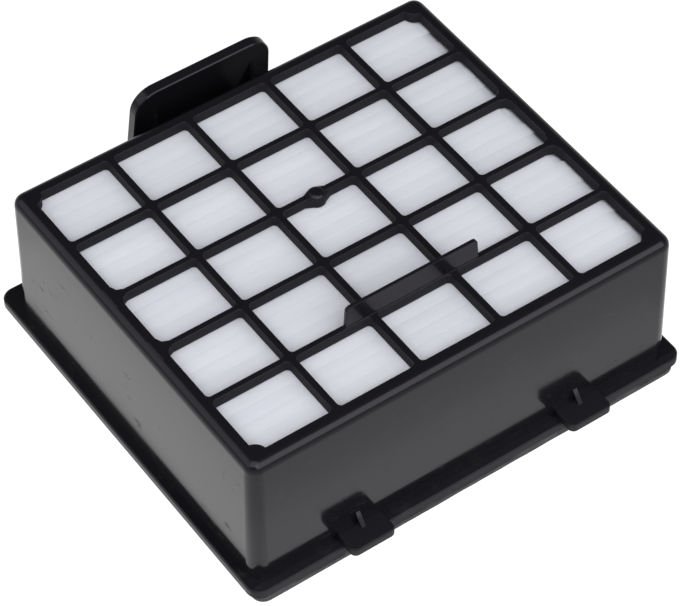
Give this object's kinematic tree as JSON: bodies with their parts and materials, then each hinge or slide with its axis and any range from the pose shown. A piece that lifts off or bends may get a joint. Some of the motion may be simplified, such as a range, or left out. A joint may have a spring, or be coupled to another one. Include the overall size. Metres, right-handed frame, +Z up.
{
  "type": "vacuum cleaner filter cassette",
  "caption": "Rectangular filter cassette with a grid over a pleated pack, a sealed flange, locking lugs and a finger grip.",
  "frame": {"origin": "middle of the overall footprint, on the surface that the seal rests on", "axes": "+Z up through the grid, +X along the long side of the box, +Y towards the finger grip"},
  "size_m": [0.138, 0.138, 0.0564],
  "materials": {
    "black_plastic": "satin moulded surface",
    "filter_media": "soft white nonwoven",
    "adhesive": "set adhesive",
    "seal_foam": "fine closed-cell foam"
  },
  "bodies": {
    "root": {"housing": "black_plastic", "pleat_pack": "filter_media", "potting": "adhesive", "flange_seal": "seal_foam"}
  },
  "joints": []
}
